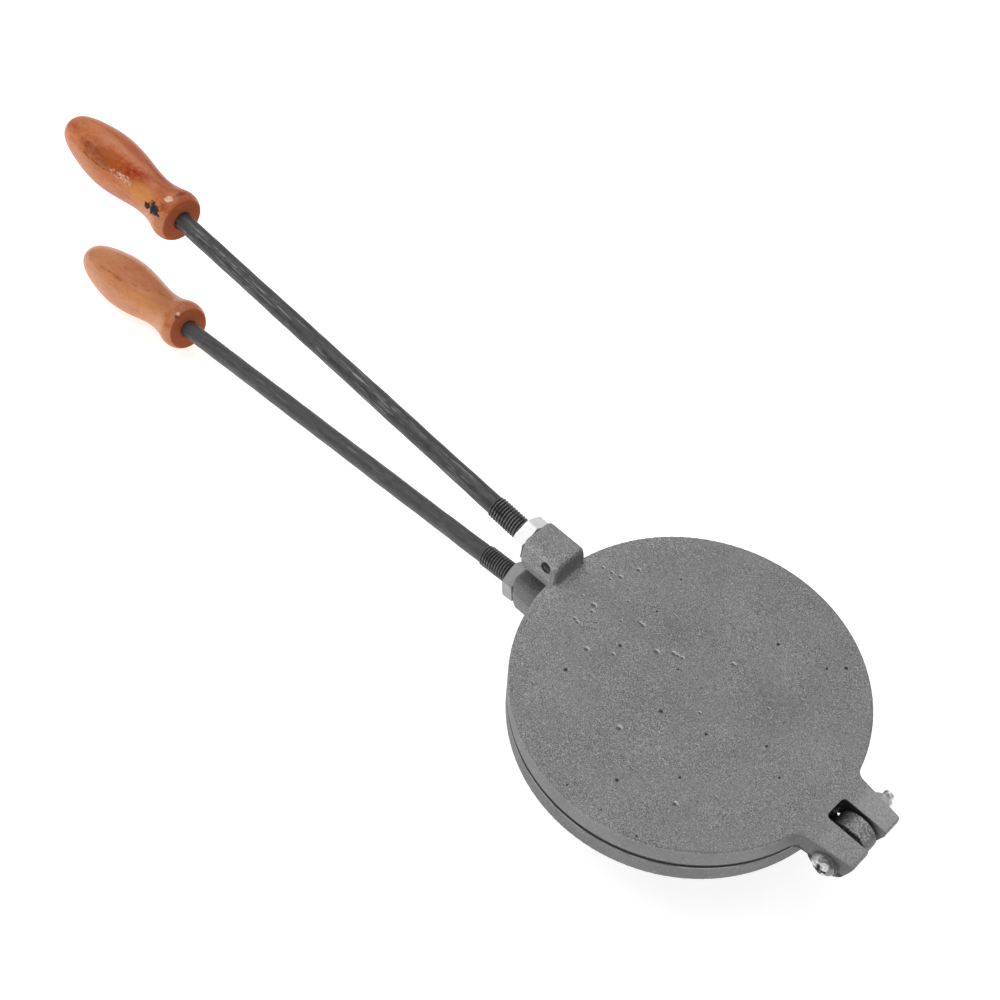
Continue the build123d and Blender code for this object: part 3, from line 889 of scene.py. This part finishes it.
def rod_rings(side):
    """A bar with a helical thread at one end.

    In the thread the radius goes from root to crest by a flattened triangle wave of the station
    over the pitch less the turn over a full circle. The shank's radius drifts by two slow sines."""
    plain = np.array([ROD_INNER_END, ROD_INNER_END, ROD_INNER_END + ROD_CHAMFER, THREAD_START])
    threaded = np.arange(THREAD_START, THREAD_END + THREAD_PITCH, THREAD_PITCH / ROWS_IN_PITCH)
    shank = np.linspace(*SHANK_ENDS, SHANK_ROWS)
    tang = np.array([ROD_OUTER_END - ROD_CHAMFER, ROD_OUTER_END, ROD_OUTER_END])
    stations = np.concatenate([plain, threaded, shank, tang])
    turns = np.linspace(0.0, FULL_TURN, ROD_COLUMNS, endpoint=False)
    station, turn = np.meshgrid(stations, turns, indexing="ij")

    phase = np.mod(station / THREAD_PITCH - turn / FULL_TURN, 1.0)
    triangle = 1.0 - np.abs(2.0 * phase - 1.0)
    wave = np.clip(0.5 + THREAD_STEEPNESS * (triangle - 0.5), 0.0, 1.0)
    thread = THREAD_ROOT + (THREAD_CREST - THREAD_ROOT) * wave
    drift = slow_waves(station, turn, side, SHANK_WAVES) * (1.0 - smooth_step(station, *SHANK_TO_TANG))
    bare = SHANK_RADIUS + drift
    radii = thread + (bare - thread) * smooth_step(station, *THREAD_RUN_OUT)

    radii[: len(plain)] = THREAD_ROOT
    radii[[1, -2]] = SHANK_RADIUS - ROD_CHAMFER
    radii[[0, -1]] = 0.0
    return rings_about_axis(rod_point(side, 0.0), rod_along(side), stations, turns, radii)


def spline_through(points, first_slope, last_slope, count):
    """A clamped cubic through points, over their chord length, solved from its slopes."""
    steps = np.linalg.norm(np.diff(points, axis=0), axis=1)
    knots = np.concatenate([[0.0], np.cumsum(steps)])
    size = len(points)
    system, target = np.eye(size), np.zeros((size, 2))
    target[0], target[-1] = first_slope, last_slope
    for row in range(1, size - 1):
        before, after = steps[row - 1], steps[row]
        system[row, row - 1 : row + 2] = after, 2.0 * (before + after), before
        rise_before = after * (points[row] - points[row - 1]) / before
        rise_after = before * (points[row + 1] - points[row]) / after
        target[row] = 3.0 * (rise_before + rise_after)
    slopes = np.linalg.solve(system, target)

    places = np.linspace(0.0, knots[-1], count)
    span = np.clip(np.searchsorted(knots, places, side="right") - 1, 0, size - 2)
    width = steps[span][:, None]
    t = (places - knots[span])[:, None] / width
    return (
        (2 * t**3 - 3 * t**2 + 1) * points[span]
        + (t**3 - 2 * t**2 + t) * width * slopes[span]
        + (-2 * t**3 + 3 * t**2) * points[span + 1]
        + (t**3 - t**2) * width * slopes[span + 1]
    )


def handle_profile(side):
    """Stations and radii from the tip along the outside, over the face and into the bore.

    The outside is a cubic through the handle's radii, and its edge a quarter of an ellipse."""
    length = HANDLE_LENGTH[side]
    points = np.stack([HANDLE_SHARES * length, HANDLE_RADII], axis=1)
    outside = spline_through(points, (0.0, TIP_FULLNESS), (1.0, 0.0), GRIP_ROWS)[1:]
    turn = np.linspace(0.0, np.pi / 2, EDGE_ROWS)[1:]
    edge_start, edge_height = points[-1][0], points[-1][1] - FACE_RADIUS
    edge_stations = edge_start + (length - edge_start) * np.sin(turn)
    edge = np.stack([edge_stations, FACE_RADIUS + edge_height * np.cos(turn)], axis=1)
    face = np.linspace((length, FACE_RADIUS), (length, BORE_RADIUS + BORE_CHAMFER), FACE_ROWS)[1:]
    bore_end = length - BORE_DEPTH
    bore = [(length - BORE_CHAMFER, BORE_RADIUS), (bore_end, BORE_RADIUS), (bore_end, POLE_RADIUS)]
    return np.concatenate([outside, edge, face, bore])


def handle_rings(side, dents):
    """A turned grip, slightly out of round, pressed in where the wood is missing.

    Each dent lowers the surface by its depth times a bell curve of the distance along and
    around it, rippled by the product of a sine along the grip and one around the dent. Columns
    crowd together on the side that carries the dents."""
    profile = handle_profile(side)
    even = np.linspace(0.0, FULL_TURN, GRIP_COLUMNS, endpoint=False)
    turns = even - GRIP_CROWDING * np.sin(even - CROWDED_ANGLE)
    station, turn = np.meshgrid(profile[:, 0], turns, indexing="ij")
    radii = np.repeat(profile[:, 1:], len(turns), axis=1)
    last_outside = np.argmax(profile[:, 0] >= HANDLE_LENGTH[side])
    outside = (np.arange(len(profile)) <= last_outside)[:, None]
    wander = slow_waves(station, turn, side, GRIP_WAVES) * smooth_step(radii, *ROUND_TIP)
    radii = radii * (1.0 + outside * wander)
    for place, angle, length, width, depth in dents:
        around = (np.mod(turn - np.radians(angle) + np.pi, FULL_TURN) - np.pi) * radii
        bell = np.exp(-(((station - place) / length) ** 2) - (around / width) ** 2)
        ripple = np.sin(RIPPLE_ALONG * station + 1.0) * np.sin(RIPPLE_AROUND * around)
        radii = radii - outside * depth * (1.0 + RIPPLE_HEIGHT * ripple) * bell
    return rings_about_axis(handle_tip(side), -handle_outward(side), profile[:, 0], turns, radii)


def grip_point(side, station, angle):
    """A point on a grip's surface in the grip's own coordinates: along it, then two across."""
    profile = handle_profile(side)
    outside = profile[: np.argmax(profile[:, 0] >= HANDLE_LENGTH[side]) + 1]
    radius = outside[np.argmin(np.abs(outside[:, 0] - station)), 1]
    return (station, radius * np.cos(np.radians(angle)), radius * np.sin(np.radians(angle)))


def blister_rings(spots):
    """Low swellings on the plate's flat top, each with its foot closed under the surface.

    At a distance r from its middle, a swelling of radius R is h (1 + cos(pi r / R)) / 2 high,
    where h is a set share of R."""
    shares = np.concatenate([np.linspace(0.02, 1.0, BLISTER_ROWS), [BLISTER_FOOT_SHARE]])
    lifts = (1.0 + np.cos(np.pi * shares)) / 2.0
    lifts[-1] = BLISTER_FOOT_LIFT
    turns = np.linspace(0.0, FULL_TURN, BLISTER_COLUMNS, endpoint=False)
    circle = np.stack([np.cos(turns), -np.sin(turns), np.zeros_like(turns)], axis=-1)
    reach = spots[:, 2][:, None, None, None]
    middles = np.column_stack([spots[:, :2], np.full(len(spots), PLATE_TOP)])[:, None, None, :]
    rise = lifts[None, :, None, None] * np.array([0.0, 0.0, BLISTER_RISE]) * reach
    return middles + reach * shares[None, :, None, None] * circle[None, None] + rise


def blister_slopes(mesh):
    """How far each point's normal leans towards +Y, made steeper and kept from -1 to 1."""
    normals = np.empty(len(mesh.vertices) * 3, dtype=np.float32)
    mesh.vertex_normals.foreach_get("vector", normals)
    return np.clip(normals[1::3] * SLOPE_GAIN, -1.0, 1.0)


# Making

place_camera()
light_studio()
lay_floor()

for half, side in (("upper", UPPER), ("lower", LOWER)):
    body = half + "_half"
    steel = black_steel(half + "_black_steel", side)
    rod = piece_from_rings(half + "_threaded_rod", rod_rings(side)[None], steel, body)
    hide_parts(half + "_rod")
    wood = lacquered_wood(half + "_lacquered_wood", side)
    surface = handle_rings(side, DENTS[side])[None]
    grip = piece_from_rings(half + "_turned_grip", surface, wood, body)
    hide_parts(half + "_handle")

surface = blister_rings(BLISTERS)
blisters = piece_from_rings("casting_blisters", surface, blister_iron(), "upper_half")
slope = blisters.data.attributes.new("slope", "FLOAT", "POINT")
slope.data.foreach_set("value", blister_slopes(blisters.data))

finishes = {"upper_plate": upper_iron(), "lower_plate": lower_iron()}
for node, plating in PLATED.items():
    finishes[node] = zinc(*plating)
for node, material in finishes.items():
    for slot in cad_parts[node].material_slots:
        slot.material = material
